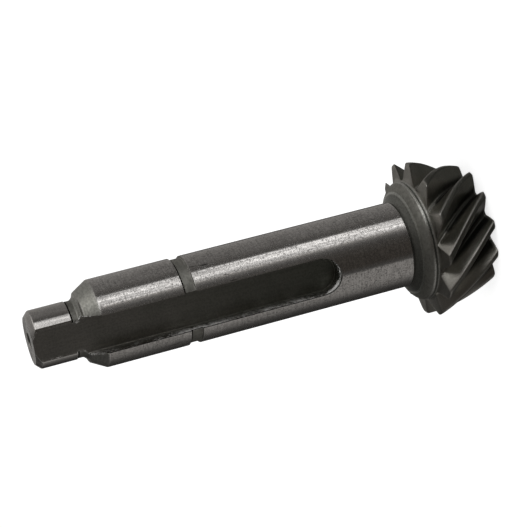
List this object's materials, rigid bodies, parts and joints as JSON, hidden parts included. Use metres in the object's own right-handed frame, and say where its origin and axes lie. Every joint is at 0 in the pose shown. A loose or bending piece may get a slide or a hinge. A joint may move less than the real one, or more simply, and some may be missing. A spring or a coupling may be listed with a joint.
{
  "type": "spiral bevel pinion shaft",
  "caption": "Left-hand spiral bevel pinion in one piece with a round ground shank that has a long open-ended slot, a turned groove and a stub with a drive flat.",
  "frame": {"origin": "centre of the flat small end of the teeth, which the part stands on", "axes": "+Z along the shank to its free end, -Y out of the slot, +X completes the frame"},
  "size_m": [0.0408, 0.0408, 0.1176],
  "materials": {
    "steel": "ground bright on the journals and the stub, dark grey satin on the teeth, slot and grooves"
  },
  "bodies": {
    "root": {"pinion_shaft": "steel"}
  },
  "joints": []
}
